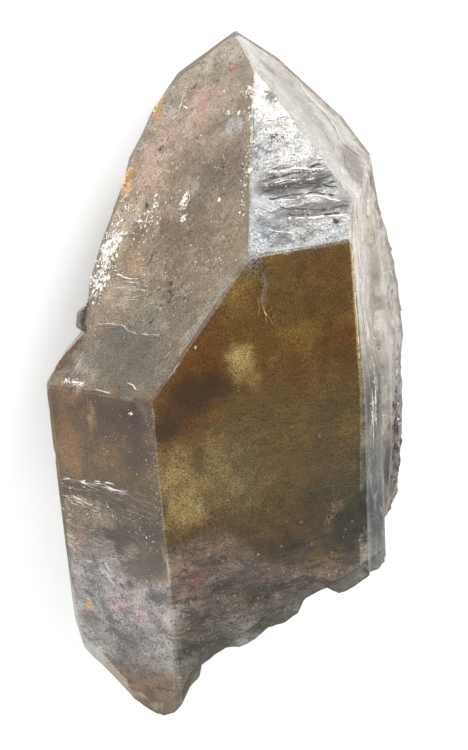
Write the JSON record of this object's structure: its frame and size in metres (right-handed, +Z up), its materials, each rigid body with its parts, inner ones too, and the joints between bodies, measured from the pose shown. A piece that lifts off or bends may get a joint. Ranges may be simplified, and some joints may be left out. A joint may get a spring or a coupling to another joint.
{
  "type": "quartz crystal",
  "caption": "Stout smoky quartz point, hexagonal prism with a stepped tip and a broken base, cloudy inside, lying on one prism face.",
  "frame": {"origin": "centre of the bounding box at the surface that the crystal lies on", "axes": "+Y along the crystal's c axis towards the tip, +X to the right across the broad front face, +Z up, out of the front face"},
  "size_m": [0.0706, 0.1114, 0.052],
  "materials": {
    "quartz": "clear to cloudy smoky quartz: satin prism faces, frosted and pitted tip face, bright stepped tip face, glassy break",
    "inclusions": "matt mineral dust inside the quartz: brown smoke, pinkish grey cloud, rust stains and dark specks"
  },
  "bodies": {
    "root": {"quartz_crystal": "quartz"}
  },
  "joints": []
}
